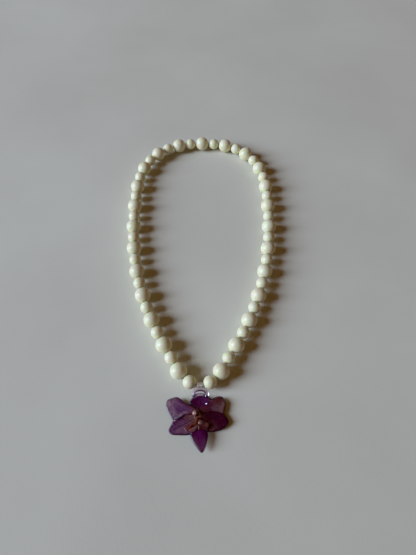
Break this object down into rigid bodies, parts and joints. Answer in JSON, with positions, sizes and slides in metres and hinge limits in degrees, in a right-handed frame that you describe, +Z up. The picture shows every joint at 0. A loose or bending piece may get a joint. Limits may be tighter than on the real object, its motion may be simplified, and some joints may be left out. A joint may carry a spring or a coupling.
{
  "type": "lei",
  "caption": "Bead lei: a closed strand of large and small round cream beads, with an orchid cast in clear resin hanging from the thread by a hoop and tube.",
  "frame": {"origin": "middle of the whole lei's box, on the surface it lies on", "axes": "+Y from the pendant to the back of the neck, along the loop's length; +Z up from the surface; +X across the loop"},
  "size_m": [0.1478, 0.3278, 0.014],
  "materials": {
    "bead": "satin cream, polished",
    "thread": "twisted cream nylon",
    "resin": "clear cast resin, glossy",
    "tepal": "deep violet petal, veined",
    "lip": "dark magenta petal",
    "column": "pale pink to red-brown"
  },
  "bodies": {
    "strand": {"bead_01": "bead", "bead_02": "bead", "bead_03": "bead", "bead_04": "bead", "bead_05": "bead", "bead_06": "bead", "bead_07": "bead", "bead_08": "bead", "bead_09": "bead", "bead_10": "bead", "bead_11": "bead", "bead_12": "bead", "bead_13": "bead", "bead_14": "bead", "bead_15": "bead", "bead_16": "bead", "bead_17": "bead", "bead_18": "bead", "bead_19": "bead", "bead_20": "bead", "bead_21": "bead", "bead_22": "bead", "bead_23": "bead", "bead_24": "bead", "bead_25": "bead", "bead_26": "bead", "bead_27": "bead", "bead_28": "bead", "bead_29": "bead", "bead_30": "bead", "bead_31": "bead", "bead_32": "bead", "bead_33": "bead", "bead_34": "bead", "bead_35": "bead", "bead_36": "bead", "bead_37": "bead", "bead_38": "bead", "bead_39": "bead", "bead_40": "bead", "bead_41": "bead", "bead_42": "bead", "bead_43": "bead", "bead_44": "bead", "bead_45": "bead", "bead_46": "bead", "bead_47": "bead", "bead_48": "bead", "bead_49": "bead", "bead_50": "bead", "bead_51": "bead", "strand_thread": "thread"},
    "pendant": {"resin_coat": "resin", "orchid_tepals": "tepal", "orchid_lip": "lip", "orchid_column": "column"}
  },
  "joints": [
    {"name": "pendant_swing", "type": "hinge", "parent": "strand", "child": "pendant", "pos_m": [0, -0.1136, 0.007], "axis": [-1, 0, 0], "range_deg": [0, 100]}
  ]
}
